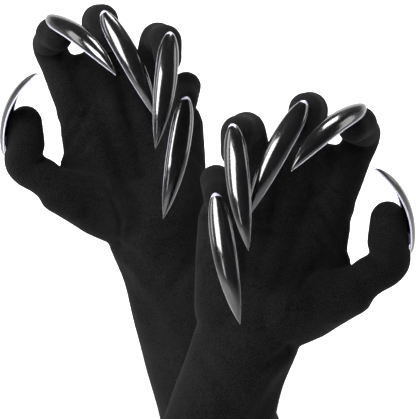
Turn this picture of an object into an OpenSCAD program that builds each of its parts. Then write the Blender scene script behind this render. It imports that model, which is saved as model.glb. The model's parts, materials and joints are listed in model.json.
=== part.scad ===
// A pair of long stretch gloves with a moulded claw on every fingertip.
// Millimetres, +Z up, palms toward -Y. The origin is the centre of the left glove's arm opening.
// Every glove is a chain of hollow fabric sleeves that bend at the wrist and finger joints.

/* [Sleeve] */
// Length of the sleeve from the arm opening to the wrist
sleeve_length = 200; // [150:5:230]
// Radius of the arm opening, measured inside the hem
cuff_bore = 35; // [33:0.5:37]
// Outer radius of the sleeve at the wrist
wrist_radius = 28; // [27.5:0.1:28.5]
// Height of the stitched hem around the arm opening
hem_height = 14; // [8:1:20]
// Lean of each forearm away from vertical, in degrees
forearm_lean = 18.5; // [16:0.5:22]

/* [Hand] */
// Lean of each hand away from vertical, in degrees
hand_lean = 15.5; // [12:0.5:18]
// Thickness of the collision skin that stands for the fabric of the hand
hand_skin = 2; // [1.6:0.1:2.4]
// Bend that the wrist allows to the front and to the back, in degrees
wrist_swing = 15; // [10:1:16]

/* [Claws] */
// Length of a claw along its curve
claw_length = 70; // [55:1:74]
// Greatest width of a claw
claw_width = 12.5; // [10:0.5:13]
// Radius of the curve that a claw follows along its length
claw_curve = 80; // [75:1:120]
// Height of a claw's arch across its width
claw_arch = 4.2; // [3.8:0.1:4.6]
// Wall of a claw
claw_wall = 1.4; // [1:0.1:1.6]

/* [Pair] */
// Step from the left arm opening to the right one: sideways
pair_side = -76.8; // [-80:0.1:-70]
// Step from the left arm opening to the right one: toward the front
pair_front = 110; // [105:1:130]
// Step from the left arm opening to the right one: downward
pair_down = 53.7; // [50:0.1:60]

/* [Hidden] */
$fn = 40;

// Digits: name, knuckle, splay, roll, resting bends, bone lengths, radius, claw turn
NAME = 0;
KNUCKLE = 1;
SPLAY = 2;
ROLL = 3;
BEND = 4;
BONE = 5;
RADIUS = 6;
TURN = 7;
FINGERS = [
    ["index", [-26, 0, 80], -7, 12, [2, 76, 32], [39, 24, 21], 9.2, 12],
    ["middle", [-5, 0, 84], 5, 7, [19, 73, 50], [42, 26, 22], 9.2, 15],
    ["ring", [14, 0, 79], 20, 13, [41, 53, 44], [39, 25, 21], 9, -7],
    ["little", [30, 0, 68], 34, 6, [70, 49, 28], [31, 19, 19], 7.8, 7]
];
THUMB = ["thumb", [-45, -18, 37], -37, 58, [0, 59], [26, 32], 10.5, -15];
DIGITS = [each FINGERS, THUMB];
PIECES = [
    "cuff_hem", "sleeve", "palm_panel", "back_panel", "thumb_gusset",
    for (f = FINGERS) each [for (part = ["base_sleeve", "middle_sleeve", "tip_sleeve"]) str(f[0], "_", part)],
    "thumb_base_sleeve", "thumb_tip_sleeve",
    for (f = DIGITS) each [for (part = ["claw", "claw_pad"]) str(f[0], "_", part)]
];
// Extra bend past the resting pose that the sleeves leave room for
SPARE_BEND = 12;
FABRIC = [0.14, 0.14, 0.15];
SEAM = [0.09, 0.09, 0.1];
CLAW = [0.03, 0.03, 0.035];
PAD = [0.85, 0.86, 0.88];
finger_skin = 1.8;
fold_gap = 0.2;
cap_gap = 0.45;
socket_skin = 0.9;
claw_set_back = 3;
claw_gap = 0.45;
claw_lean = -6;
claw_widest = 0.36;
hem_wall = 2.4;
sleeve_wall = 1.6;
wrist_ball = wrist_radius - sleeve_wall - cap_gap;

// ---- where things stand ----

module glove(side) {
    if (side == "left")
        children();
    else
        translate([pair_side, -pair_front, -pair_down]) mirror([1, 0, 0]) children();
}
module forearm() {
    rotate([0, -forearm_lean, 0]) children();
}
module hand() {
    translate(sleeve_length * [-sin(forearm_lean), 0, cos(forearm_lean)]) rotate([0, -hand_lean, 0]) children();
}
// The frame of bone number `bone` of digit f: origin at its joint, +Z along the bone, -Y toward the palm side
module at_bone(f, bone) {
    if (bone == 0)
        translate(f[KNUCKLE]) rotate([0, f[SPLAY], 0]) rotate([0, 0, f[ROLL]]) rotate([f[BEND][0], 0, 0]) children();
    else
        at_bone(f, bone - 1) translate([0, 0, f[BONE][bone - 1]]) rotate([f[BEND][bone], 0, 0]) children();
}
// The knuckle frame before any bend, which the hand's own openings follow
module at_knuckle(f) {
    translate(f[KNUCKLE]) rotate([0, f[SPLAY], 0]) rotate([0, 0, f[ROLL]]) children();
}

// ---- fabric sleeves ----

// Everything below a joint that its sleeves leave free, so that it can bend by `bend`, or backward by `back`
module fold_room(radius, bend, back = 0) {
    reach = 3 * radius;
    front_room = reach * tan(bend / 2) + fold_gap;
    back_room = reach * tan(back / 2) + fold_gap;
    rotate([90, 0, 90]) linear_extrude(height = 4 * radius, center = true)
        polygon([[reach, back_room], [0, fold_gap], [-reach, front_room], [-reach, -60], [reach, -60]]);
}
// How far the joint below bone number `bone` goes past straight, with room to spare
function back_bend(f, bone) = bone > 0 ? 0 : f[NAME] == "thumb" ? 24 : 12;
// Round cap that closes the outside of a bent joint, fixed to the sleeve below it
module joint_cap(radius) {
    ball = radius - socket_skin - cap_gap;
    intersection() {
        difference() {
            sphere(r = ball);
            sphere(r = ball - 1.2);
            translate([0, 0, -radius]) cylinder(r = ball - 1.2, h = radius);
        }
        translate([-radius, -1, -3]) cube([2 * radius, 2 * radius, 2 * radius]);
    }
}
module bone_sleeve(f, bone) {
    radius = f[RADIUS];
    long = f[BONE][bone];
    last = bone == len(f[BEND]) - 1;
    this_bend = f[BEND][bone] + (bone == 0 ? 2 : 1) * SPARE_BEND;
    next_bend = last ? 0 : f[BEND][bone + 1] + SPARE_BEND;
    body = last ? long - radius : long;
    difference() {
        union() {
            cylinder(r = radius, h = body);
            if (last)
                translate([0, 0, body]) sphere(r = radius);
        }
        translate([0, 0, -1]) cylinder(r = radius - finger_skin, h = body + (last ? 1 : 2));
        if (last)
            translate([0, 0, body]) sphere(r = radius - finger_skin);
        translate([0, 0, -1]) cylinder(r = radius - socket_skin, h = radius + 1);
        fold_room(radius, this_bend, back_bend(f, bone));
        if (!last)
            translate([0, 0, long]) rotate([180, 0, 180]) fold_room(radius, next_bend);
    }
    if (!last)
        translate([0, 0, long]) joint_cap(radius);
}

// ---- hand ----

module hand_volume(inset) {
    hull() {
        sphere(r = wrist_ball - inset, $fn = 32);
        for (f = FINGERS)
            translate(f[KNUCKLE]) sphere(r = f[RADIUS] - inset, $fn = 24);
        translate([24, 0, 42]) sphere(r = 14 - inset, $fn = 24);
        translate([-20, -5, 30]) sphere(r = 15 - inset, $fn = 24);
    }
}
module thumb_root_volume(inset) {
    hull() {
        translate([-16, -6, 18]) sphere(r = 16 - inset, $fn = 24);
        translate(THUMB[KNUCKLE]) sphere(r = THUMB[RADIUS] - inset, $fn = 24);
        translate([-26, -4, 46]) sphere(r = 12 - inset, $fn = 24);
    }
}
// Space that the fingers and the sleeve need, cut from the hand
module hand_openings() {
    for (f = FINGERS)
        at_knuckle(f) rotate([180, 0, 180])
            fold_room(f[RADIUS] + 1.4, f[BEND][0] + SPARE_BEND, back_bend(f, 0));
    translate([-60, -60, -60 - 14]) cube([120, 120, 60]);
}
module hand_skin_half(front) {
    difference() {
        hand_volume(0);
        hand_volume(hand_skin);
        thumb_root_volume(hand_skin);
        hand_openings();
        translate([-100, front ? 0 : -200, -100]) cube([200, 200, 300]);
    }
}
module palm_panel() {
    color(FABRIC) hand() hand_skin_half(true);
}
module back_panel() {
    color(FABRIC) hand() {
        hand_skin_half(false);
        difference() {
            for (f = FINGERS)
                at_knuckle(f) joint_cap(f[RADIUS]);
            translate([-100, -200, 0]) cube([200, 200, 200]);
        }
    }
}
module thumb_gusset() {
    color(FABRIC) hand() difference() {
        thumb_root_volume(0);
        thumb_root_volume(hand_skin);
        hand_volume(-0.1);
        at_knuckle(THUMB) rotate([180, 0, 180]) fold_room(THUMB[RADIUS] + 2, THUMB[BEND][0] + 2 * SPARE_BEND, back_bend(THUMB, 0));
    }
}

// ---- claws ----

// Share of the claw's greatest width at share t of its length: a round base, then a long taper
function claw_share(t) =
    t < claw_widest ? max(0.3, sqrt(1 - pow(1 - t / claw_widest, 2)))
    : max(0.05, pow(1 - pow((t - claw_widest) / (1 - claw_widest), 2.2), 0.9));
// Direction of the claw at share t, in degrees from the bone toward the palm side
function claw_angle(t) = claw_lean + t * claw_length / claw_curve * 180 / PI;
// Height of the claw's edges over the bone: they lie on the round fingertip, and go on level past it
function claw_seat(t, radius) =
    let (half = claw_width / 2 * (t < claw_widest ? claw_share(t) : 1))
    sqrt(radius * radius - half * half) + claw_gap;
function claw_spine(t, radius) = [
    0,
    claw_seat(t, radius) - claw_curve * (cos(claw_lean) - cos(claw_angle(t))),
    claw_curve * (sin(claw_angle(t)) - sin(claw_lean))
];
// A point of the arched section: u runs from -1 to 1 across, depth is measured inward
function claw_point(t, u, depth, radius) =
    let (
        share = claw_share(t),
        height = claw_arch * pow(share, t < claw_widest ? 0.5 : 0.6),
        rise = height * cos(90 * u) - depth * (0.25 + 0.75 * cos(90 * u))
    )
    claw_spine(t, radius) + [
        claw_width / 2 * share * sin(90 * u),
        rise * cos(claw_angle(t)),
        rise * sin(claw_angle(t))
    ];
module claw(f) {
    stations = 16;
    across = 8;
    ring = 2 * (across + 1);
    points = [
        for (i = [0:stations]) let (t = pow(i / stations, 1.3)) each [
            for (j = [0:across]) claw_point(t, -1 + 2 * j / across, 0, f[RADIUS]),
            for (j = [across:-1:0]) claw_point(t, -1 + 2 * j / across, claw_wall, f[RADIUS])
        ]
    ];
    sides = [
        for (i = [0:stations - 1], j = [0:ring - 1]) let (k = (j + 1) % ring) each [
            [i * ring + j, i * ring + k, (i + 1) * ring + k],
            [i * ring + j, (i + 1) * ring + k, (i + 1) * ring + j]
        ]
    ];
    // An end of the arch is a strip between its outer and inner edge
    ends = [
        for (j = [0:across - 1]) let (a = j, b = j + 1, c = ring - 2 - j, d = ring - 1 - j, m = stations * ring) each [
            [a, d, c], [a, c, b], [m + a, m + c, m + d], [m + a, m + b, m + c]
        ]
    ];
    color(CLAW) difference() {
        translate([0, 0, claw_set_back]) rotate([0, f[TURN], 0]) polyhedron(points, concat(sides, ends));
        fingertip(f, claw_gap);
    }
}
// The fingertip, grown by `more`
module fingertip(f, more) {
    body = f[BONE][len(f[BEND]) - 1] - f[RADIUS];
    translate([0, 0, -5]) cylinder(r = f[RADIUS] + more, h = body + 5);
    translate([0, 0, body]) sphere(r = f[RADIUS] + more);
}
// Film of glue between the fingertip and the claw
module claw_pad(f) {
    long = 9;
    wide = 5;
    color(PAD) intersection() {
        difference() {
            cylinder(r = f[RADIUS] + claw_gap - 0.05, h = 40);
            translate([0, 0, -1]) cylinder(r = f[RADIUS] + 0.05, h = 42);
        }
        translate([0, 0, claw_set_back]) rotate([0, f[TURN], 0])
            translate([-wide / 2, 0, 3.5]) cube([wide, 2 * f[RADIUS], long - 3.5]);
    }
}

// ---- sleeve and hem, in the forearm frame ----

module cuff_hem() {
    color(SEAM) forearm() difference() {
        cylinder(r = cuff_bore + hem_wall, h = hem_height, $fn = 64);
        translate([0, 0, -1]) cylinder(r = cuff_bore, h = hem_height + 2, $fn = 64);
    }
}
module sleeve() {
    low = hem_height + 0.02;
    high = sleeve_length - wrist_radius * tan(wrist_swing) - 1;
    cuff_radius = cuff_bore + sleeve_wall;
    color(FABRIC) forearm() rotate_extrude($fn = 64) polygon([
        [cuff_radius - sleeve_wall, low],
        [cuff_radius, low],
        [wrist_radius, high],
        [wrist_radius - sleeve_wall, high]
    ]);
}

// ---- every node, once for each glove ----

for (side = ["left", "right"]) glove(side) {
    cuff_hem();
    sleeve();
    palm_panel();
    back_panel();
    thumb_gusset();
    for (f = FINGERS) {
        for (bone = [0:2]) {
            part = ["_base_sleeve", "_middle_sleeve", "_tip_sleeve"][bone];
            color(FABRIC) hand() at_bone(f, bone) bone_sleeve(f, bone);
        }
    }
    for (bone = [0:1]) {
        part = ["_base_sleeve", "_tip_sleeve"][bone];
        color(FABRIC) hand() at_bone(THUMB, bone) bone_sleeve(THUMB, bone);
    }
    for (f = DIGITS) {
        tip = len(f[BEND]) - 1;
        hand() at_bone(f, tip) claw(f);
        hand() at_bone(f, tip) claw_pad(f);
    }
}
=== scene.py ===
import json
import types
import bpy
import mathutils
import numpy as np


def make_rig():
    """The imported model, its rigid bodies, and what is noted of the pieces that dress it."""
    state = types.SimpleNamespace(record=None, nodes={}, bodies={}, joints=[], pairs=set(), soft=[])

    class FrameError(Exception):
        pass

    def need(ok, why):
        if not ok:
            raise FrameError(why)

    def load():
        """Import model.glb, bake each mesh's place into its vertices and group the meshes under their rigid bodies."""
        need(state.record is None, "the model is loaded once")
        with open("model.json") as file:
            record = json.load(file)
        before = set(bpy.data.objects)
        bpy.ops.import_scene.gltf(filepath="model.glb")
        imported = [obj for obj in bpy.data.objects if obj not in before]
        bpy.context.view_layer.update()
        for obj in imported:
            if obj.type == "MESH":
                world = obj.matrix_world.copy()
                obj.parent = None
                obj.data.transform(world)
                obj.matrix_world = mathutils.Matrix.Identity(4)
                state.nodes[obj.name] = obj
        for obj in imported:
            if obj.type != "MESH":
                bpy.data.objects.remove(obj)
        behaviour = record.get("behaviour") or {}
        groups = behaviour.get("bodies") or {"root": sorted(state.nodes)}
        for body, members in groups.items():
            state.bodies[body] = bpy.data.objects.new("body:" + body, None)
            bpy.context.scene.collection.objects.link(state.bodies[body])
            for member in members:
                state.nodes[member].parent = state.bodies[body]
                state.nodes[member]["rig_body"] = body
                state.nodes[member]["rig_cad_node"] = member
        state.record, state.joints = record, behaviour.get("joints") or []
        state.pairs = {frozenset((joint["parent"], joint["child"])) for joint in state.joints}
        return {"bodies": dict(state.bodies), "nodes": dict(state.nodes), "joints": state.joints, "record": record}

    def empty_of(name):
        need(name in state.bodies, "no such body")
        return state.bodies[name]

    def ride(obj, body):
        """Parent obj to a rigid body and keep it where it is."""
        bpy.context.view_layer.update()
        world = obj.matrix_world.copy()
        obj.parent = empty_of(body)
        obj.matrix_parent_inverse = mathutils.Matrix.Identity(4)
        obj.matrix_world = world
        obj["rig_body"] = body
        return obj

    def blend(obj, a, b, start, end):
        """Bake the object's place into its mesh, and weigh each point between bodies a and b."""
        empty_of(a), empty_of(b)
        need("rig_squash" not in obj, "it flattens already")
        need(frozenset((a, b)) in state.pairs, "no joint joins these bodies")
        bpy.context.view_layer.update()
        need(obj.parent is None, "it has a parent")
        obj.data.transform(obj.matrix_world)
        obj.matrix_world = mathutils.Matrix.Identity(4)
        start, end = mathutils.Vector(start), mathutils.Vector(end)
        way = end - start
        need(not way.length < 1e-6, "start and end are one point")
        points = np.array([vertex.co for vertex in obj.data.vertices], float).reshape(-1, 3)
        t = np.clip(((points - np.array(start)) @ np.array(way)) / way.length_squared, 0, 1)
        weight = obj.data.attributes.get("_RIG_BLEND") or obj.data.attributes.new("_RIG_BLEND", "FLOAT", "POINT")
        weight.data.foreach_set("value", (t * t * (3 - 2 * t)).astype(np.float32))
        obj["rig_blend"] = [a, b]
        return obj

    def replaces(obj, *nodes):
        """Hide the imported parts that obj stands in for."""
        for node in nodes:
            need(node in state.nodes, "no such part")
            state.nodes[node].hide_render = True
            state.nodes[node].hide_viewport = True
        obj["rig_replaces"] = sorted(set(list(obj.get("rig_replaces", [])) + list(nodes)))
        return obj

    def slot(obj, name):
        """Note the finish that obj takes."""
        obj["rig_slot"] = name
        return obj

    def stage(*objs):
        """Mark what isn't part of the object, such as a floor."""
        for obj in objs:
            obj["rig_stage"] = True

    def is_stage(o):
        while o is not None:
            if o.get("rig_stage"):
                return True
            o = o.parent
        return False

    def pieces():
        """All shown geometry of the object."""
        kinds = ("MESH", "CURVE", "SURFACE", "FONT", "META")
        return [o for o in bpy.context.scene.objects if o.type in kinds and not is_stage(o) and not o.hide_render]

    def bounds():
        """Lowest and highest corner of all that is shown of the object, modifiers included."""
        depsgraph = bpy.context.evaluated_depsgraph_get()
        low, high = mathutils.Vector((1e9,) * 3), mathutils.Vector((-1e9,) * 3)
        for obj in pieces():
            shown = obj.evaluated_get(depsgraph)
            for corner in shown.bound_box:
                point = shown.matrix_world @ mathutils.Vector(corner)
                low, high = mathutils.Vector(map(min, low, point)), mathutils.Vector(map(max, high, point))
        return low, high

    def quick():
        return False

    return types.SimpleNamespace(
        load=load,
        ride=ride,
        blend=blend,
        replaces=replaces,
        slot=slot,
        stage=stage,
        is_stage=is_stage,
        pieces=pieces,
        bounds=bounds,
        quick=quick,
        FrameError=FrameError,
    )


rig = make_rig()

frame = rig.load()

import json
import math

import bpy
import numpy as np
from mathutils import Vector

cad_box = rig.bounds()
MM = 0.001
TURN = 2 * math.pi
JOINTS = {j["name"]: j for j in frame["joints"]}
FINGERS = ["index", "middle", "ring", "little"]
DIGITS = FINGERS + ["thumb"]
SPARE_BEND = 8  # degrees that a knuckle's range goes past straight

# ---------------------------------------------------------------- vectors and frames


def unit(v):
    return v / np.linalg.norm(v)


def turn(v, axis, angle, pivot=(0, 0, 0)):
    """Points v turned about an axis by one angle, or by one angle for each point."""
    p = np.atleast_2d(v) - pivot
    angle = np.broadcast_to(np.asarray(angle, float), (len(p),))
    c, s = np.cos(angle)[:, None], np.sin(angle)[:, None]
    turned = p * c + np.cross(axis, p) * s + np.outer(p @ axis, axis) * (1 - c)
    return turned + pivot


def ease(t):
    t = np.clip(t, 0, 1)
    return t * t * (3 - 2 * t)


def joint(name):
    """A joint's place and axis, and the degrees from rest to the straight end of its range."""
    j = JOINTS[name]
    return np.array(j["pos_m"]), unit(np.array(j["axis"])), -j.get("range_deg", [0])[0]


def cad_points(node):
    return np.array([v.co for v in frame["nodes"][node].data.vertices], float)


class Digit:
    """One digit of the left glove: its joints as posed at rest, and the same digit held straight."""

    def __init__(self, name):
        self.name = name
        joints = ["root_joint", "tip_joint"] if name == "thumb" else ["knuckle", "middle_joint", "tip_joint"]
        found = [joint(f"left_{name}_{n}") for n in joints]
        self.pivot = [f[0] for f in found]
        self.across = found[0][1]
        root = 0 if name == "thumb" else found[0][2] - SPARE_BEND
        self.bend = [math.radians(b) for b in [root] + [f[2] for f in found[1:]]]
        tip = cad_points(f"left_{name}_tip_sleeve")
        self.bone = [np.linalg.norm(b - a) for a, b in zip(self.pivot, self.pivot[1:])]
        self.bone.append(np.linalg.norm(tip - self.pivot[-1], axis=1).max())
        posed = unit(self.pivot[1] - self.pivot[0])
        self.along = turn(posed, self.across, -self.bend[0])[0]
        self.back = np.cross(self.along, self.across)
        self.root = self.pivot[0]
        self.start = np.concatenate([[0], np.cumsum(self.bone)])
        base = cad_points(f"left_{name}_base_sleeve") - self.pivot[0]
        self.radius = np.linalg.norm(base - np.outer(base @ posed, posed), axis=1).max()
        second = self.bone[1]
        # how far each bend reaches along the digit, before its joint and after it
        if name == "thumb":
            self.reach = [(-0.013, 0.011), (-0.013, 0.012)]
        else:
            self.reach = [
                (-0.013, 0.4 * self.bone[0]),
                (-0.5 * second, 0.5 * second),
                (-0.38 * second, 0.38 * second),
            ]

    def place(self, along, across=0, back=0):
        """A point of the straight digit."""
        return self.root + self.along * along + self.across * across + self.back * back

    def measure(self, v):
        """How far along the straight digit each point is, and how far off its axis."""
        p = v - self.root
        along = p @ self.along
        return along, np.linalg.norm(p - np.outer(along, self.along), axis=1)

    def weight(self, along, bone):
        """How far a point has turned with bone number bone: 0 before the bend, 1 after it."""
        low, high = self.reach[bone]
        return ease((along - self.start[bone] - low) / (high - low))

    def curl(self, v):
        """The straight digit's points, curled to the resting pose."""
        along = self.measure(v)[0]
        out = v.copy()
        for bone in reversed(range(len(self.bend))):
            pivot = self.place(self.start[bone])
            out = turn(out, self.across, self.bend[bone] * self.weight(along, bone), pivot)
        return out


def parts_of(name):
    """The pieces of one digit, from its root to its tip."""
    if name == "thumb":
        return ["base_sleeve", "tip_sleeve"]
    return ["base_sleeve", "middle_sleeve", "tip_sleeve"]


DIGIT = {name: Digit(name) for name in DIGITS}
WRIST, HAND_X, _ = joint("left_wrist")
HAND_Y = np.array([0.0, 1.0, 0.0])
HAND_Z = np.cross(HAND_X, HAND_Y)
SLEEVE_LENGTH = np.linalg.norm(WRIST)
ARM_Z = unit(WRIST)
ARM_X = np.cross(HAND_Y, ARM_Z)
CUFF_RADIUS = frame["record"]["mounts"][0]["dims"]["r_mm"] * MM
HEM_HEIGHT = frame["record"]["mounts"][0]["dims"]["length_mm"] * MM
MIRROR = np.array([-1.0, 1.0, 1.0])
RIGHT_STEP = joint("right_wrist")[0] - WRIST * MIRROR


def hand(x, y, z):
    """A point of the left hand, from millimetres across, toward its back and up from the wrist."""
    return WRIST + (HAND_X * x + HAND_Y * y + HAND_Z * z) * MM


def mirrored(vertices, faces):
    """The right glove's copy of a left mesh: mirrored, moved, and with its faces turned round again."""
    return vertices * MIRROR + RIGHT_STEP, [f[::-1] for f in faces]


# ---------------------------------------------------------------- the camera

PHOTO_WIDTH = 0.237  # width of the view at the left palm
CAMERA_DISTANCE = 1.7
VIEW_CENTRE = hand(31.6, 0, 5.1)


def add_camera():
    data = bpy.data.cameras.new("camera")
    data.sensor_width = 36
    data.sensor_fit = "HORIZONTAL"
    data.lens = 36 * CAMERA_DISTANCE / PHOTO_WIDTH
    data.clip_end = 20
    camera = bpy.data.objects.new("camera", data)
    camera.location = (VIEW_CENTRE[0], -CAMERA_DISTANCE, VIEW_CENTRE[2])
    camera.rotation_euler = (math.radians(90), 0, 0)
    bpy.context.scene.collection.objects.link(camera)
    bpy.context.scene.camera = camera


# ---------------------------------------------------------------- materials


def node_material(name):
    """A new material, its node tree and its surface node."""
    material = bpy.data.materials.new(name)
    material.use_nodes = True
    tree = material.node_tree
    return material, tree, tree.nodes["Principled BSDF"]


def maths(tree, kind, a, b=None):
    """One step of arithmetic on sockets or numbers."""
    node = tree.nodes.new("ShaderNodeMath")
    node.operation = kind
    for socket, value in zip(node.inputs, (a, b)):
        if isinstance(value, (int, float)):
            socket.default_value = value
        elif value is not None:
            tree.links.new(value, socket)
    return node.outputs[0]


def noise(tree, vector, scale, detail=3.0):
    node = tree.nodes.new("ShaderNodeTexNoise")
    node.inputs["Scale"].default_value = scale
    node.inputs["Detail"].default_value = detail
    tree.links.new(vector, node.inputs["Vector"])
    return node.outputs["Fac"]


def ramp(tree, value, stops):
    node = tree.nodes.new("ShaderNodeValToRGB")
    for i, (place, colour) in enumerate(stops):
        stop = node.color_ramp.elements[i] if i < 2 else node.color_ramp.elements.new(place)
        stop.position = place
        stop.color = (*colour, 1)
    tree.links.new(value, node.inputs["Fac"])
    return node.outputs["Color"]


def knit_height(tree, uv, wale, course):
    """Height of a fine jersey knit: columns of V stitches, from UV in millimetres."""
    split = tree.nodes.new("ShaderNodeSeparateXYZ")
    tree.links.new(uv, split.inputs[0])
    column = maths(tree, "DIVIDE", split.outputs["X"], wale)
    row = maths(tree, "DIVIDE", split.outputs["Y"], course)
    half = maths(tree, "ABSOLUTE", maths(tree, "SUBTRACT", maths(tree, "FRACT", column), 0.5))
    slant = maths(tree, "ADD", row, maths(tree, "MULTIPLY", half, 1.2))
    stitch = maths(tree, "SINE", maths(tree, "MULTIPLY", slant, 6.283))
    groove = maths(tree, "SINE", maths(tree, "MULTIPLY", half, 6.283))
    return maths(tree, "ADD", maths(tree, "MULTIPLY", stitch, 0.25), maths(tree, "MULTIPLY", groove, 0.5))


def fabric_material(name, dark, light):
    """Matt jersey that goes between two colours with its fuzz and its drape."""
    wale, course, depth = 0.62, 0.55, 0.00012
    material, tree, surface = node_material(name)
    uv = tree.nodes.new("ShaderNodeUVMap").outputs["UV"]
    place = tree.nodes.new("ShaderNodeTexCoord").outputs["Object"]
    height = knit_height(tree, uv, wale, course)
    fuzz = noise(tree, place, 1700, 4.0)
    drape = noise(tree, place, 26, 4.0)
    mix = maths(tree, "ADD", maths(tree, "MULTIPLY", fuzz, 0.75), maths(tree, "MULTIPLY", drape, 0.25))
    tree.links.new(ramp(tree, mix, [(0.40, dark), (0.60, light)]), surface.inputs["Base Color"])
    surface.inputs["Roughness"].default_value = 0.88
    surface.inputs["Specular IOR Level"].default_value = 0.05
    surface.inputs["Sheen Weight"].default_value = 0.015
    surface.inputs["Sheen Roughness"].default_value = 0.45
    surface.inputs["Sheen Tint"].default_value = (0.9, 0.86, 0.88, 1)
    bump = tree.nodes.new("ShaderNodeBump")
    bump.inputs["Strength"].default_value = 0.8
    bump.inputs["Distance"].default_value = depth
    tree.links.new(maths(tree, "ADD", height, maths(tree, "MULTIPLY", fuzz, 0.6)), bump.inputs["Height"])
    tree.links.new(bump.outputs["Normal"], surface.inputs["Normal"])
    return material


def claw_material():
    """Black gloss paint on clear plastic, with a painted reflection: a thin rim round the claw's sides and base is
    coloured pale lavender grey to stand in for the bright edge reflection.
    """
    material, tree, surface = node_material("claw_gloss")
    place = tree.nodes.new("ShaderNodeTexCoord").outputs["Object"]
    flow = noise(tree, place, 60, 2.0)
    paint = ramp(tree, flow, [(0.3, (0.003, 0.003, 0.0032)), (0.7, (0.006, 0.006, 0.0065))])
    split = tree.nodes.new("ShaderNodeSeparateXYZ")
    tree.links.new(tree.nodes.new("ShaderNodeUVMap").outputs["UV"], split.inputs[0])
    # painted reflection mask: the claw's sides past the black paint, and its base, are coloured pale
    side = maths(tree, "GREATER_THAN", maths(tree, "ABSOLUTE", split.outputs["X"]), CLAW_PAINTED_RIM_SIDE)
    base = maths(tree, "LESS_THAN", split.outputs["Y"], CLAW_PAINTED_RIM_BASE)
    painted_rim = maths(tree, "MAXIMUM", side, base)
    mix = tree.nodes.new("ShaderNodeMix")
    mix.data_type = "RGBA"
    tree.links.new(painted_rim, mix.inputs["Factor"])
    # sockets 6, 7 and 2 are the colours A and B and the colour that comes out
    tree.links.new(paint, mix.inputs[6])
    # pale lavender grey: a painted reflection of the bright room along the claw's rim
    mix.inputs[7].default_value = (0.42, 0.42, 0.52, 1)
    tree.links.new(mix.outputs[2], surface.inputs["Base Color"])
    scuff = noise(tree, place, 1500, 4.0)
    worn = ramp(tree, scuff, [(0.38, (0.07, 0.07, 0.07)), (0.62, (0.24, 0.24, 0.24))])
    tree.links.new(worn, surface.inputs["Roughness"])
    surface.inputs["IOR"].default_value = 1.5
    surface.inputs["Coat Weight"].default_value = 0.35
    surface.inputs["Coat Roughness"].default_value = 0.09
    bump = tree.nodes.new("ShaderNodeBump")
    bump.inputs["Strength"].default_value = 0.25
    bump.inputs["Distance"].default_value = 0.0002
    tree.links.new(maths(tree, "ADD", flow, maths(tree, "MULTIPLY", scuff, 0.22)), bump.inputs["Height"])
    tree.links.new(bump.outputs["Normal"], surface.inputs["Normal"])
    return material


def pad_material():
    material, tree, surface = node_material("adhesive_gel")
    place = tree.nodes.new("ShaderNodeTexCoord").outputs["Object"]
    cloud = noise(tree, place, 700, 3.0)
    milk = ramp(tree, cloud, [(0.3, (0.5, 0.51, 0.54)), (0.7, (0.68, 0.69, 0.72))])
    tree.links.new(milk, surface.inputs["Base Color"])
    surface.inputs["Roughness"].default_value = 0.3
    surface.inputs["Subsurface Weight"].default_value = 0.2
    surface.inputs["Subsurface Scale"].default_value = 0.001
    return material


def thread_material():
    material, tree, surface = node_material("sewing_thread")
    place = tree.nodes.new("ShaderNodeTexCoord").outputs["Object"]
    twist = noise(tree, place, 3500, 1.0)
    black = ramp(tree, twist, [(0.3, (0.012, 0.012, 0.014)), (0.7, (0.04, 0.04, 0.045))])
    tree.links.new(black, surface.inputs["Base Color"])
    surface.inputs["Roughness"].default_value = 0.55
    return material


# ---------------------------------------------------------------- mesh helpers


def add_mesh(name, vertices, faces, material, uv=None):
    data = bpy.data.meshes.new(name)
    data.from_pydata([tuple(v) for v in vertices], [], [tuple(int(i) for i in f) for f in faces])
    data.update()
    obj = bpy.data.objects.new(name, data)
    bpy.context.scene.collection.objects.link(obj)
    data.materials.append(material)
    data.polygons.foreach_set("use_smooth", np.ones(len(data.polygons), bool))
    if uv is not None:
        layer = data.uv_layers.new(name="UVMap")
        layer.data.foreach_set("uv", np.asarray(uv, np.float32).ravel())
    return obj


def strip(rows, columns, closed=True):
    """Quads between rows of points that lie one after another."""
    faces = []
    for i in range(rows - 1):
        for j in range(columns if closed else columns - 1):
            k = (j + 1) % columns
            faces.append((i * columns + j, i * columns + k, (i + 1) * columns + k, (i + 1) * columns + j))
    return faces


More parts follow.
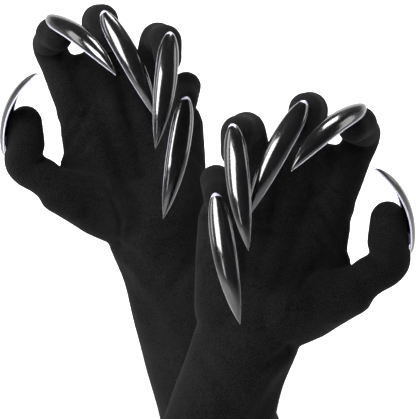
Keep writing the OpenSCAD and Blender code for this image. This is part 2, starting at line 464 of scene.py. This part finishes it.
class Lumps:
    """Closed tubes that overlap, which a voxel remesh turns into one skin."""

    def __init__(self):
        self.vertices, self.faces = [], []

    def tube(self, rings):
        """rings: (centre, across, back, half width, half depth). Both ends are closed."""
        count, start = 28, len(self.vertices)
        for centre, across, back, wide, deep in rings:
            for k in range(count):
                a = TURN * k / count
                self.vertices.append(centre + across * wide * math.cos(a) + back * deep * math.sin(a))
        self.faces += [tuple(start + i for i in f) for f in strip(len(rings), count)]
        last = start + (len(rings) - 1) * count
        self.faces.append(tuple(start + k for k in reversed(range(count))))
        self.faces.append(tuple(last + k for k in range(count)))

    def limb(self, points, sizes, across, flat=1.0):
        """A rounded limb through points, with a half width at each. flat is its depth over its width."""
        points = [np.asarray(p, float) for p in points]
        rings = []
        first, last = unit(points[1] - points[0]), unit(points[-1] - points[-2])
        dome = [math.radians(90 * (i + 0.3) / 5) for i in range(5)]
        for a in dome:
            rings.append((points[0] - first * sizes[0] * math.cos(a), sizes[0] * math.sin(a), first))
        for i, (p, size) in enumerate(zip(points, sizes)):
            way = unit(points[min(i + 1, len(points) - 1)] - points[max(i - 1, 0)])
            rings.append((p, size, way))
        for a in reversed(dome):
            rings.append((points[-1] + last * sizes[-1] * math.cos(a), sizes[-1] * math.sin(a), last))
        out = []
        for centre, size, way in rings:
            side = unit(across - way * (across @ way))
            out.append((centre, side, np.cross(way, side), size, size * flat))
        self.tube(out)

    def skin(self, voxel):
        """The tubes remeshed as one closed quad mesh: its points and its faces."""
        data = bpy.data.meshes.new("lumps")
        data.from_pydata([tuple(v) for v in self.vertices], [], self.faces)
        obj = bpy.data.objects.new("lumps", data)
        bpy.context.scene.collection.objects.link(obj)
        remesh = obj.modifiers.new("skin", "REMESH")
        remesh.mode = "VOXEL"
        remesh.voxel_size = voxel
        evaluated = obj.evaluated_get(bpy.context.evaluated_depsgraph_get()).to_mesh()
        vertices = np.array([v.co for v in evaluated.vertices], float)
        faces = np.array([tuple(p.vertices) for p in evaluated.polygons], int)
        bpy.data.objects.remove(obj)
        return vertices, faces


def neighbours(faces, count):
    """Edges of a quad mesh both ways round, and each vertex's number of neighbours."""
    edges = np.concatenate([faces[:, [k, (k + 1) % 4]] for k in range(4)])
    edges = np.unique(np.sort(edges, axis=1), axis=0)
    a = np.concatenate([edges[:, 0], edges[:, 1]])
    b = np.concatenate([edges[:, 1], edges[:, 0]])
    return a, b, np.maximum(np.bincount(a, minlength=count), 1)


def average(values, ring):
    a, b, degree = ring
    if values.ndim == 1:
        return np.bincount(a, values[b], minlength=len(values)) / degree
    return np.stack([np.bincount(a, values[b, k], minlength=len(values)) / degree for k in range(3)], axis=1)


def smooth(vertices, ring, rounds, share=1.0):
    """Taubin smoothing: it evens the skin and keeps its size. share is 0 to 1 for each vertex."""
    share = np.broadcast_to(share, (len(vertices),))[:, None]
    for _ in range(rounds):
        vertices = vertices + 0.5 * share * (average(vertices, ring) - vertices)
        vertices = vertices - 0.52 * share * (average(vertices, ring) - vertices)
    return vertices


def normals(vertices, faces):
    """Area-weighted vertex normals of a quad mesh."""
    a = vertices[faces[:, 2]] - vertices[faces[:, 0]]
    b = vertices[faces[:, 3]] - vertices[faces[:, 1]]
    face = np.cross(a, b)
    out = np.zeros_like(vertices)
    for k in range(4):
        np.add.at(out, faces[:, k], face)
    return out / np.maximum(np.linalg.norm(out, axis=1), 1e-12)[:, None]


# ---------------------------------------------------------------- the glove's skin, held straight

VOXEL = 0.0024 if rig.quick() else 0.0019
FABRIC_THICK = 0.0008


# (share of the digit's length, or metres where it is below 0; share of the digit's radius)
THUMB_SHAPE = [(-0.012, 1.06), (0, 1.03), (0.22, 1.04), (0.45, 1.12), (0.68, 1.05), (0.86, 0.92)]
FINGER_SHAPE = [
    (-0.006, 1.10), (0.15, 1.09), (0.33, 1.03), (0.46, 1.06), (0.62, 1.01), (0.75, 0.98), (0.9, 0.86),
]
THUMB_PAD = 0.003  # how far the thumb's fabric goes past its bone
# (share of the sleeve's length, share of the cuff's radius across, and toward the back)
SLEEVE_SHAPE = [
    (-0.01, 1.045, 1.045), (0.08, 1.04, 1.03), (0.35, 0.96, 0.90),
    (0.7, 0.84, 0.70), (0.9, 0.79, 0.615), (1.0, 0.785, 0.59),
]
THUMB_HEEL = hand(-13, -5, 12)


def finger_lumps(lumps, digit):
    total = digit.start[-1]
    stops = FINGER_SHAPE
    if digit.name == "thumb":
        stops = THUMB_SHAPE
        total += THUMB_PAD
    places = [s if s < 0 else s * total for s, _ in stops]
    sizes = [k * digit.radius for _, k in stops]
    places[-1] = total - sizes[-1]
    lumps.limb([digit.place(p) for p in places], sizes, digit.across, 0.97)


def glove_skin():
    lumps = Lumps()
    # sleeve: round at the arm opening, flatter at the wrist
    rings = []
    for t, wide, deep in SLEEVE_SHAPE:
        rings.append((ARM_Z * SLEEVE_LENGTH * t, ARM_X, HAND_Y, CUFF_RADIUS * wide, CUFF_RADIUS * deep))
    for z, wide, deep in [(14, 28.5, 18.0), (30, 30, 14.5)]:
        rings.append((hand(1, -1, z), HAND_X, HAND_Y, wide * MM, deep * MM))
    lumps.tube(rings)
    # the hand's own bones
    heel = {"index": -13, "middle": -5, "ring": 6, "little": 14}
    for name in FINGERS:
        d = DIGIT[name]
        foot = hand(heel[name], 0, 8)
        middle = 0.5 * foot + 0.5 * d.root + HAND_Y * 0.001
        lumps.limb([foot, middle, d.root], [0.0145, 0.0135, d.radius * 1.22], HAND_X, 0.96)
    # ball of the thumb, and the little finger's side of the palm
    thumb = DIGIT["thumb"]
    lumps.limb([THUMB_HEEL, hand(-28, -11, 25), thumb.root], [0.0165, 0.0175, 0.0135], HAND_X, 0.92)
    outer_palm = [hand(16, -4, 10), hand(23.5, -4, 36), hand(30, -1, 56)]
    lumps.limb(outer_palm, [0.0156, 0.0148, 0.0125], HAND_X, 0.95)
    # the web between thumb and first finger
    edge = [hand(-29, -8, 36), hand(-31, -5, 54), hand(-29, -1, 70)]
    inside = [hand(-18, -4, 30), hand(-20, -3, 55), hand(-18, 0, 72)]
    lumps.limb(edge, [0.0105, 0.0085, 0.0085], HAND_X, 0.8)
    lumps.limb([hand(-33, -12, 36), hand(-35, -8, 51)], [0.0100, 0.0074], HAND_X, 0.8)
    lumps.limb(inside, [0.012, 0.011, 0.0105], HAND_X, 1.0)
    # webs between the fingers, with the height of each in millimetres
    for a, b, height in [("index", "middle", 27), ("middle", "ring", 16), ("ring", "little", 12)]:
        low = 0.5 * (DIGIT[a].root + DIGIT[b].root)
        way = unit(DIGIT[a].along + DIGIT[b].along)
        lumps.limb([low - way * 0.01, low + way * (height - 6) * MM], [0.0086, 0.0078], HAND_X, 0.92)
    for name in DIGITS:
        finger_lumps(lumps, DIGIT[name])
    return lumps.skin(VOXEL)


# ---------------------------------------------------------------- which piece each point belongs to


GUSSET_RADIUS = 0.0205
GUSSET_START = 0.018  # from the heel of the thumb
WRIST_TOP = 27  # millimetres above the wrist's joint
WRIST_REACH = 0.034  # below the wrist's joint
FAR = 99  # a distance that no digit claims


class Skin:
    """The left glove's skin: straight, at rest, and how every point moves."""

    def __init__(self):
        self.straight, self.faces = glove_skin()
        self.ring = neighbours(self.faces, len(self.straight))
        self.straight = smooth(self.straight, self.ring, 9)
        self.sort_points()
        self.pose()
        self.sort_faces()
        self.set_weights()

    def sort_points(self):
        """Finds each point's digit, the finger next to it, and by how much the first one is nearer."""
        v = self.straight
        n = len(v)
        self.along = np.zeros((5, n))
        off = np.zeros((5, n))
        for k, name in enumerate(DIGITS):
            self.along[k], off[k] = DIGIT[name].measure(v)
            off[k] /= DIGIT[name].radius
            low = DIGIT[name].reach[0][0]
            off[k][self.along[k] < low] = FAR
            off[k][off[k] > (1.9 if name == "thumb" else 2.2)] = FAR
        self.owner = np.where(off.min(axis=0) < FAR, off.argmin(axis=0), -1)
        order = np.sort(off[:4], axis=0)
        rank = np.argsort(off[:4], axis=0)
        self.rival = np.where(order[1] < FAR, rank[1], -1)
        self.lead = order[1] - order[0]

    def pose(self):
        """Curls every digit. Near a web a point follows both fingers beside it."""
        v = self.straight
        rest = v.copy()
        curled = [DIGIT[name].curl(v) for name in DIGITS]
        for k in range(5):
            mine = self.owner == k
            rest[mine] = curled[k][mine]
        for k in range(4):
            shared = (self.owner == k) & (self.rival >= 0)
            for other in range(4):
                pick = shared & (self.rival == other)
                doubt = 1 - ease(self.lead[pick] / 0.8)
                near = 0.5 * doubt * (1 - ease((self.along[k][pick] - 0.016) / 0.012))
                rest[pick] = (1 - near)[:, None] * curled[k][pick] + near[:, None] * curled[other][pick]
        self.rest = rest

    def sort_faces(self):
        """Names every face's piece, from the middle of the face."""
        v, f = self.straight, self.faces
        centre = v[f].mean(axis=1)
        p = (centre - WRIST) / MM
        y, z = p @ HAND_Y, p @ HAND_Z
        arm = centre @ ARM_Z
        piece = np.full(len(f), "", dtype=object)
        piece[:] = np.where(y < 0, "palm_panel", "back_panel")
        root = unit(DIGIT["thumb"].root - THUMB_HEEL)
        p = centre - THUMB_HEEL
        far = np.linalg.norm(p - np.outer(p @ root, root), axis=1)
        piece[(far < GUSSET_RADIUS) & (p @ root > GUSSET_START)] = "thumb_gusset"
        piece[z < WRIST_TOP] = "wrist"
        piece[arm < SLEEVE_LENGTH - WRIST_REACH] = "sleeve"
        piece[arm < HEM_HEIGHT * 0.6] = "open"
        owner = self.owner[f]
        for k, name in enumerate(DIGITS):
            d = DIGIT[name]
            mine = (owner == k).sum(axis=1) >= 2
            if k:
                mine &= ~np.isin(piece, [f"{n}_base_sleeve" for n in DIGITS[:k]])
            along = d.measure(centre)[0]
            mine &= along > d.reach[0][0]
            mine &= z > 20
            parts = parts_of(name)
            part = np.where(along < self.cut(d, 0), parts[0], parts[1])
            if name != "thumb":
                part = np.where(along < self.cut(d, 1), part, parts[2])
            piece[mine] = [f"{name}_{q}" for q in part[mine]]
        self.piece = piece

    def cut(self, d, bone):
        """Where bone number bone is cut, between the bends at its two ends."""
        return d.start[bone] + 0.5 * (d.reach[bone][1] + d.bone[bone] + d.reach[bone + 1][0])

    def set_weights(self):
        """How far each point follows the outer body of its piece's joint."""
        f = self.faces
        arm = (self.straight @ ARM_Z) - SLEEVE_LENGTH
        self.weights = {"wrist": ease((arm + 0.026) / 0.046)}
        member = {name: np.unique(f[self.piece == name]) for name in set(self.piece)}
        for k, name in enumerate(DIGITS):
            for bone, part in enumerate(parts_of(name)):
                self.weights[f"{name}_{part}"] = DIGIT[name].weight(self.along[k], bone)
        # the first piece of a digit is still wherever it meets anything but its own next piece
        for name in DIGITS:
            own, after = (f"{name}_{part}" for part in parts_of(name)[:2])
            others = [member[p] for p in member if p not in (own, after)]
            still = np.intersect1d(member[own], np.concatenate(others))
            whole = np.intersect1d(member[own], member[after])
            w = self.weights[own]
            inside = np.zeros(len(w), bool)
            inside[member[own]] = True
            w[~inside] = 0
            w[whole] = 1
            fixed = w.copy()
            for _ in range(14):
                w[still] = 0
                w[whole] = 1
                soft = average(w, self.ring)
                w = np.where(inside & (fixed < 0.999), np.minimum(soft, fixed), w)
            w[still] = 0
            w[whole] = 1
            self.weights[own] = w


# ---------------------------------------------------------------- folds in the fabric


def fold(v, n, start, end, width, depth):
    """A soft crease on the palm side: the skin is depth lower along it, and a little higher beside it."""
    way = end - start
    length = np.linalg.norm(way)
    way = way / length
    t = (v - start) @ way
    aside = v - start - np.outer(t, way)
    aside -= np.outer(aside @ HAND_Y, HAND_Y)
    off = np.linalg.norm(aside, axis=1) / width
    facing = ease((-(n @ HAND_Y) - 0.1) / 0.5) * ease(((v - WRIST) @ HAND_Y / MM + 34) / 6)
    taper = ease(t / (0.25 * length)) * ease((length - t) / (0.25 * length)) * facing
    profile = -np.exp(-off * off) + 0.45 * np.exp(-((off - 1.7) ** 2) / 0.6)
    return v + n * (depth * taper * profile)[:, None]


def drape(v, n, straight):
    """Slack in the sleeve: long soft diagonal waves, strongest between wrist and arm opening."""
    z = straight @ ARM_Z / SLEEVE_LENGTH
    angle = np.arctan2(straight @ HAND_Y, straight @ ARM_X)
    slack = ease((z - 0.08) / 0.2) * (1 - ease((z - 1.02) / 0.12))
    wave = 0.0005 * np.sin(2 * angle + 13 * z) + 0.0004 * np.sin(3 * angle - 21 * z + 1.3)
    wave += 0.0002 * np.sin(33 * z + 1.5 * np.sin(angle))
    return v + n * (slack * wave)[:, None]


def palm(x, z):
    """A point in front of the palm, in millimetres. A crease is found by its place across the palm."""
    return hand(x, -13, z)


def add_folds(skin):
    v = skin.rest
    n = normals(v, skin.faces)
    v = drape(v, n, skin.straight)
    # (start, end, width, depth), the last two in millimetres
    creases = [
        (palm(-38, 58), palm(-16, 80), 2.2, 1.0), (palm(-36, 66), palm(-20, 86), 1.9, 0.7),
        (palm(-36, 52), palm(-14, 66), 2.0, 0.7), (palm(-33, 76), palm(16, 68), 2.4, 0.8),
        (palm(-10, 60), palm(33, 54), 2.4, 0.7), (palm(-28, 6), palm(-8, -20), 3.0, 1.5),
        (palm(-16, 4), palm(20, 1), 2.6, 0.8), (palm(30, 42), palm(38, 24), 2.2, 0.6),
        (palm(2, 84), palm(4, 60), 3.2, 1.0), (palm(18, 80), palm(16, 56), 3.0, 0.9),
        (palm(-52, 44), palm(-40, 34), 2.0, 0.8), (palm(-29, -8), palm(-10, -56), 4.2, 1.5),
        (palm(-26, -44), palm(12, -84), 4.4, 1.4), (palm(26, -12), palm(-4, -36), 3.6, 1.1),
        (palm(-24, -80), palm(20, -112), 4.8, 1.2),
    ]
    # the seam round the ball of the thumb
    seam = [palm(-25, 46), palm(-20.5, 35), palm(-18, 23), palm(-17, 12), palm(-22, 0)]
    creases += [(a - 0.3 * (b - a), b + 0.3 * (b - a), 1.5, 0.7) for a, b in zip(seam, seam[1:])]
    for start, end, width, depth in creases:
        v = fold(v, n, start, end, width * MM, depth * MM)
    skin.rest = v


# ---------------------------------------------------------------- fabric pieces


def fabric_uv(skin, faces, name):
    """UV in millimetres of knit: across the ribs and along them, one way of mapping for each face."""
    v = skin.straight[faces]
    digit = name.split("_")[0]
    if digit in DIGITS and not name.endswith("gusset"):
        d = DIGIT[digit]
        p = v - d.root
        angle, length, size = np.arctan2(p @ d.back, p @ d.across), p @ d.along, d.radius
    elif name in ("sleeve", "wrist"):
        angle, length, size = np.arctan2(v @ HAND_Y, v @ ARM_X), v @ ARM_Z, CUFF_RADIUS * 0.85
    else:
        x, z = (v - WRIST) @ HAND_X, (v - WRIST) @ HAND_Z
        return np.stack([x / MM, z / MM], axis=2).reshape(-1, 2)
    over_seam = (angle.max(axis=1) - angle.min(axis=1) > math.pi)[:, None] & (angle < 0)
    angle = np.where(over_seam, angle + TURN, angle)
    return np.stack([angle * size / MM, length / MM], axis=2).reshape(-1, 2)


def fabric_piece(skin, name, side, material):
    """One piece of the glove as a closed sheet: outside, inside and the edges between them."""
    faces = skin.faces[skin.piece == name]
    used = np.unique(faces)
    local = np.full(len(skin.rest), -1)
    local[used] = np.arange(len(used))
    outer = skin.rest[used]
    n = skin.normal[used]
    inner = outer - n * FABRIC_THICK
    quads = local[faces]
    count = len(used)
    edges = np.concatenate([quads[:, [k, (k + 1) % 4]] for k in range(4)])
    key = np.sort(edges, axis=1)
    _, first, times = np.unique(key, axis=0, return_index=True, return_counts=True)
    rim = edges[first[times == 1]]
    rim_faces = np.stack([rim[:, 1], rim[:, 0], rim[:, 0] + count, rim[:, 1] + count], axis=1)
    every = np.concatenate([quads, quads[:, ::-1] + count, rim_faces])
    vertices = np.concatenate([outer, inner])
    uv = fabric_uv(skin, faces, name)
    flipped = uv.reshape(-1, 4, 2)[:, ::-1].reshape(-1, 2)
    uv = np.concatenate([uv, flipped, np.zeros((4 * len(rim_faces), 2))])
    vertex_normals = np.concatenate([n, -n])
    if side == "right":
        vertices = vertices * MIRROR + RIGHT_STEP
        vertex_normals = vertex_normals * MIRROR
        every = every[:, ::-1]
        uv = uv.reshape(-1, 4, 2)[:, ::-1].reshape(-1, 2)
    obj = add_mesh(f"{side}_{name}_fabric", vertices, every, material, uv)
    loops = vertex_normals[every.ravel()].copy()
    loops[len(loops) - 4 * len(rim_faces):] = 0  # the rim keeps its own normals
    obj.data.normals_split_custom_set([tuple(x) for x in loops])
    weight = skin.weights.get(name)
    if weight is not None:
        weight = np.tile(weight[used], 2).astype(np.float32)
    return obj, weight


def bodies_of(name, side):
    """The two bodies that a piece bends between, or the one that it rides on."""
    if name == "sleeve":
        return [f"{side}_sleeve"]
    if name == "wrist":
        return [f"{side}_sleeve", f"{side}_hand"]
    digit, part = name.split("_")[:2]
    if digit not in DIGITS or name.endswith("gusset"):
        return [f"{side}_hand"]
    chain = [f"{side}_hand"] + [f"{side}_{digit}_{p.split('_')[0]}" for p in parts_of(digit)]
    last = chain.index(f"{side}_{digit}_{part}")
    return chain[last - 1:last + 1]


def add_fabric(skin, side, material):
    for name in sorted(set(skin.piece) - {"open"}):
        obj, weight = fabric_piece(skin, name, side, material)
        bodies = bodies_of(name, side)
        if len(bodies) == 1:
            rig.ride(obj, bodies[0])
        else:
            # the blend's own line is replaced by the skin's weights
            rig.blend(obj, *bodies, (0, 0, 0), (0, 0, 1))
            obj.data.attributes["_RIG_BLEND"].data.foreach_set("value", weight)
        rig.slot(obj, "glove_fabric")
        if name != "wrist":
            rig.replaces(obj, f"{side}_{name}")


# ---------------------------------------------------------------- claws and their pads

# as in the CAD, in metres
CLAW_LENGTH = 0.070
CLAW_WIDTH = 0.0125
CLAW_CURVE = 0.080
CLAW_ARCH = 0.0042
CLAW_WALL = 0.0014
CLAW_GAP = 0.00045
CLAW_WIDEST = 0.36  # share of its length
CLAW_START = 0.003
CLAW_PAINTED_RIM_BASE = 0.04  # share of the claw's length at its base coloured pale as a painted reflection
CLAW_PAINTED_RIM_SIDE = 0.90  # share of its half width that the black paint covers; past it the sides are coloured pale as a painted reflection
CLAW_TURN = {"index": 12, "middle": 15, "ring": -7, "little": 7, "thumb": -15}  # degrees
CLAW_LEAN = math.radians(-6)


def claw_share(t):
    """Share of the claw's greatest width at share t of its length: a round base, then a long taper."""
    if t < CLAW_WIDEST:
        return max(0.02, (1 - (1 - t / CLAW_WIDEST) ** 2.4) ** 0.46)
    return max(0.015, max(0, 1 - ((t - CLAW_WIDEST) / (1 - CLAW_WIDEST)) ** 2.2) ** 0.9)


def claw_point(t, u, depth, radius):
    """A point of the claw (across, back, along): t along it, u from -1 to 1 across, depth in from outside."""
    share = claw_share(t)
    angle = CLAW_LEAN + t * CLAW_LENGTH / CLAW_CURVE
    bed = CLAW_WIDTH / 2 * (max(0.3, share) if t < CLAW_WIDEST else 1)
    seat = math.sqrt(radius**2 - bed**2) + CLAW_GAP
    bow = math.cos(math.pi / 2 * u)
    rise = CLAW_ARCH * share ** (0.5 if t < CLAW_WIDEST else 0.6) * bow - depth * (0.25 + 0.75 * bow)
    back = seat - CLAW_CURVE * (math.cos(CLAW_LEAN) - math.cos(angle))
    along = CLAW_CURVE * (math.sin(angle) - math.sin(CLAW_LEAN))
    wide = CLAW_WIDTH / 2 * share * math.sin(math.pi / 2 * u)
    return np.array([wide, back + rise * math.cos(angle), along + rise * math.sin(angle)])


def claw_frame(digit):
    """Origin and axes (across, back, along) of the tip bone as it rests, turned as the claw is."""
    d = DIGIT[digit]
    bend = sum(d.bend)
    back = turn(d.back, d.across, bend)[0]
    along = turn(d.along, d.across, bend)[0]
    origin = d.pivot[-1] + along * CLAW_START
    a = math.radians(CLAW_TURN[digit])
    across = d.across * math.cos(a) - along * math.sin(a)
    ahead = d.across * math.sin(a) + along * math.cos(a)
    return origin, np.stack([across, back, ahead])


def shell(point, stations, across):
    """A closed thin shell from point(t, u, inside), with a ring of points at each station t."""
    ring = 2 * (across + 1)
    vertices = []
    for t in stations:
        us = [-1 + 2 * j / across for j in range(across + 1)]
        vertices += [point(t, u, False) for u in us] + [point(t, u, True) for u in reversed(us)]
    faces = [tuple(reversed(f)) for f in strip(len(stations), ring)]
    last = (len(stations) - 1) * ring
    for j in range(across):
        a, b, c, d = j, j + 1, ring - 2 - j, ring - 1 - j
        faces.append((a, d, c, b))
        faces.append((last + a, last + b, last + c, last + d))
    return np.array(vertices), [f[::-1] for f in faces]


def claw_mesh(radius):
    """The claw for a fingertip of this radius, and where each of its points lies for the black paint and the painted
    reflection at its rim.
    """
    steps = [CLAW_WIDEST * (1 - math.cos(math.pi / 2 * i / 24)) for i in range(24)]
    steps += [CLAW_WIDEST + (1 - CLAW_WIDEST) * i / 40 for i in range(41)]
    vertices, faces = shell(lambda t, u, inside: claw_point(t, u, CLAW_WALL * inside, radius), steps, 20)
    across = [-1 + 2 * j / 20 for j in range(21)]
    return vertices, faces, np.array([(u, t) for t in steps for u in across + across[::-1]])


def pad_mesh(radius):
    """The gel pad, which fills the space between the fingertip and the claw."""

    def point(t, u, inside):
        p = claw_point(t, 0.8 * u, CLAW_WALL + 0.00005, radius)
        if inside:
            floor = math.sqrt(max(0, (radius * 0.97) ** 2 - p[0] ** 2))
            p[1] = min(p[1] - 0.0001, floor)
        return p

    return shell(point, [0.035 + 0.125 * i / 12 for i in range(13)], 12)


def add_claws(side, gloss, gel):
    for digit in DIGITS:
        origin, axes = claw_frame(digit)
        vertices, faces, paint_and_rim_map = claw_mesh(DIGIT[digit].radius)
        pad_vertices, pad_faces = pad_mesh(DIGIT[digit].radius)
        placed = origin + vertices @ axes
        pad = origin + pad_vertices @ axes
        if side == "right":
            placed, faces = mirrored(placed, faces)
            pad, pad_faces = mirrored(pad, pad_faces)
        paint_and_rim_uv = paint_and_rim_map[[i for f in faces for i in f]]
        claw = add_mesh(f"{side}_{digit}_claw_shell", placed, faces, gloss, paint_and_rim_uv)
        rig.ride(claw, f"{side}_{digit}_tip")
        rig.replaces(claw, f"{side}_{digit}_claw")
        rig.slot(claw, "claw_plastic")
        gel_pad = add_mesh(f"{side}_{digit}_gel_pad", pad, pad_faces, gel)
        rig.ride(gel_pad, f"{side}_{digit}_tip")
        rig.replaces(gel_pad, f"{side}_{digit}_claw_pad")
        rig.slot(gel_pad, "adhesive_pad")


# ---------------------------------------------------------------- hem and its stitches


def hem_profile():
    """The folded hem's section: (radius, height) points round it."""
    inner, outer, top = CUFF_RADIUS + 0.0002, CUFF_RADIUS + 0.0024, HEM_HEIGHT
    edge = 0.0011  # radius of the rolled edge
    points = []
    for k in range(9):
        a = math.pi + math.pi * k / 8
        points.append((inner + edge + edge * math.cos(a), edge + edge * math.sin(a)))
    for k in range(1, 8):
        h = edge + (top - edge) * k / 8
        points.append((outer - 0.0004 * math.exp(-(((h - 0.010) / 0.0012) ** 2)), h))
    points += [(outer - 0.0003, top - 0.0002), (outer - 0.0011, top), (inner + 0.0003, top - 0.0001)]
    for k in range(7, 0, -1):
        points.append((inner, edge + (top - edge) * k / 8))
    return points


def arm_point(angle, radius, height):
    return ARM_X * radius * math.cos(angle) + HAND_Y * radius * math.sin(angle) + ARM_Z * height


def add_hem(side, fabric, thread):
    profile = hem_profile()
    count, around = len(profile), 120
    vertices, uv = [], []
    for k in range(around):
        a = TURN * k / around
        pucker = 0.00012 * math.sin(40 * a)
        vertices += [arm_point(a, r + pucker, h) for r, h in profile]
    faces = strip(around, count)
    last = (around - 1) * count
    faces += [(last + j, last + (j + 1) % count, (j + 1) % count, j) for j in range(count)]
    faces = [f[::-1] for f in faces]
    for face in faces:
        column = [i // count for i in face]
        if max(column) - min(column) > 1:
            column = [c + around if c == 0 else c for c in column]
        for i, c in zip(face, column):
            r, h = profile[i % count]
            uv.append((c / around * 2 * math.pi * CUFF_RADIUS / MM, (h + r) / MM))
    vertices = np.array(vertices)
    stitches, stitch_faces = hem_stitches()
    if side == "right":
        vertices, faces = mirrored(vertices, faces)
        stitches, stitch_faces = mirrored(stitches, stitch_faces)
        uv = [uv[i + 3 - j] for i in range(0, len(uv), 4) for j in range(4)]
    hem = add_mesh(f"{side}_hem_band", vertices, faces, fabric, uv)
    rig.ride(hem, f"{side}_sleeve")
    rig.replaces(hem, f"{side}_cuff_hem")
    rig.slot(hem, "hem_fabric")
    row = add_mesh(f"{side}_hem_stitches", stitches, stitch_faces, thread)
    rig.ride(row, f"{side}_sleeve")
    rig.slot(row, "hem_fabric")


def hem_stitches():
    """Two rows of short raised stitches round the hem."""
    vertices, faces = [], []
    count, sides = 72, 6
    for height in (0.0092, 0.0108):
        for k in range(count):
            a = TURN * (k + 0.15) / count
            b = TURN * (k + 0.80) / count
            start = len(vertices)
            for i in range(7):
                t = i / 6
                thick = 0.00026 * max(0.25, math.sin(math.pi * t) ** 0.5)
                radius = CUFF_RADIUS + 0.0022 + 0.0002 * math.sin(math.pi * t)
                angle = a + (b - a) * t
                for s in range(sides):
                    w = TURN * s / sides
                    out, up = thick * math.cos(w), thick * math.sin(w)
                    vertices.append(arm_point(angle, radius + out, height + up))
            faces += [tuple(start + i for i in f)[::-1] for f in strip(7, sides)]
            faces.append(tuple(start + s for s in range(sides)))
            faces.append(tuple(start + 6 * sides + s for s in reversed(range(sides))))
    return np.array(vertices), faces


# ---------------------------------------------------------------- floor and light


def add_stage():
    """A sheet of white studio paper that curves up into a wall far behind the gloves."""
    low = cad_box[0][2] - 0.004
    bend = [(6 + 2 * math.sin(a), 2 - 2 * math.cos(a)) for a in np.linspace(0, math.pi / 2, 25)]
    rows = [(-9.0, 0)] + bend + [(8.0, 9.0)]
    vertices = [(x, y, low + z) for y, z in rows for x in (-11, 11)]
    faces = [(2 * i, 2 * i + 1, 2 * i + 3, 2 * i + 2) for i in range(len(rows) - 1)]
    material, tree, surface = node_material("studio_paper")
    place = tree.nodes.new("ShaderNodeTexCoord").outputs["Object"]
    tint = ramp(tree, noise(tree, place, 3, 2.0), [(0.3, (0.90, 0.90, 0.905)), (0.7, (0.92, 0.92, 0.925))])
    tree.links.new(tint, surface.inputs["Base Color"])
    tree.links.new(tint, surface.inputs["Emission Color"])
    # lit from within, more so toward the wall
    split = tree.nodes.new("ShaderNodeSeparateXYZ")
    tree.links.new(place, split.inputs[0])
    glow = maths(tree, "ADD", maths(tree, "MULTIPLY", split.outputs["Y"], 0.17), 0.20)
    tree.links.new(maths(tree, "MAXIMUM", glow, 0.18), surface.inputs["Emission Strength"])
    surface.inputs["Roughness"].default_value = 0.9
    floor = add_mesh("studio_floor", vertices, faces, material)
    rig.stage(floor)


def add_light(name, place, target, size, power, height=None):
    data = bpy.data.lights.new(name, "AREA")
    data.energy = power
    data.size = size
    if height:
        data.shape = "RECTANGLE"
        data.size_y = height
    lamp = bpy.data.objects.new(name, data)
    lamp.location = place
    lamp.rotation_euler = (Vector(target) - Vector(place)).to_track_quat("-Z", "Y").to_euler()
    bpy.context.scene.collection.objects.link(lamp)


def add_lights():
    # a room that is bright behind the gloves and beside them, and dim in front of them
    world = bpy.data.worlds.new("studio")
    bpy.context.scene.world = world
    world.use_nodes = True
    tree = world.node_tree
    background = tree.nodes["Background"]
    split = tree.nodes.new("ShaderNodeSeparateXYZ")
    tree.links.new(tree.nodes.new("ShaderNodeTexCoord").outputs["Generated"], split.inputs[0])
    up = maths(tree, "MULTIPLY", maths(tree, "MAXIMUM", split.outputs["Z"], 0.0), 0.55)
    depth = maths(tree, "ADD", maths(tree, "MULTIPLY", split.outputs["Y"], 0.5), 0.5)
    depth = maths(tree, "SUBTRACT", depth, up)
    grey = [(0.0, 0.03), (0.34, 0.07), (0.50, 0.65), (1.0, 1.0)]
    tree.links.new(ramp(tree, depth, [(t, (g, g, g)) for t, g in grey]), background.inputs["Color"])
    background.inputs["Strength"].default_value = 1.0
    middle = VIEW_CENTRE
    # name, place, target, width in metres, watts, height where it isn't the width
    add_light("top_softbox", (middle[0] + 0.3, 0.2, 1.7), middle, 0.45, 14)
    add_light("left_softbox", (-1.2, -0.15, 0.95), middle, 0.35, 8, 1.2)
    add_light("right_softbox", (1.4, 0.1, 0.9), middle, 0.45, 7, 1.2)
    add_light("front_window", (-0.74, -0.78, 0.95), middle, 0.55, 36, 0.9)
    add_light("low_window", (-0.95, -1.3, 0.3), middle, 0.25, 2.5, 0.4)
    bpy.context.scene.view_settings.view_transform = "Standard"


# ---------------------------------------------------------------- the model

add_camera()
fabric = fabric_material("stretch_knit", (0.0002, 0.0002, 0.0002), (0.0098, 0.0090, 0.0093))
hem_fabric = fabric_material("hem_knit", (0.0002, 0.0002, 0.0002), (0.0075, 0.0070, 0.0072))
gloss = claw_material()
gel = pad_material()
thread = thread_material()
skin = Skin()
add_folds(skin)
skin.normal = normals(skin.rest, skin.faces)
for side in ("left", "right"):
    add_fabric(skin, side, fabric)
    add_claws(side, gloss, gel)
    add_hem(side, hem_fabric, thread)
add_stage()
add_lights()

visual_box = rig.bounds()
with open("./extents.json", "w") as out:
    json.dump({"cad": [list(map(float, c)) for c in cad_box], "visual": [list(map(float, c)) for c in visual_box]}, out)
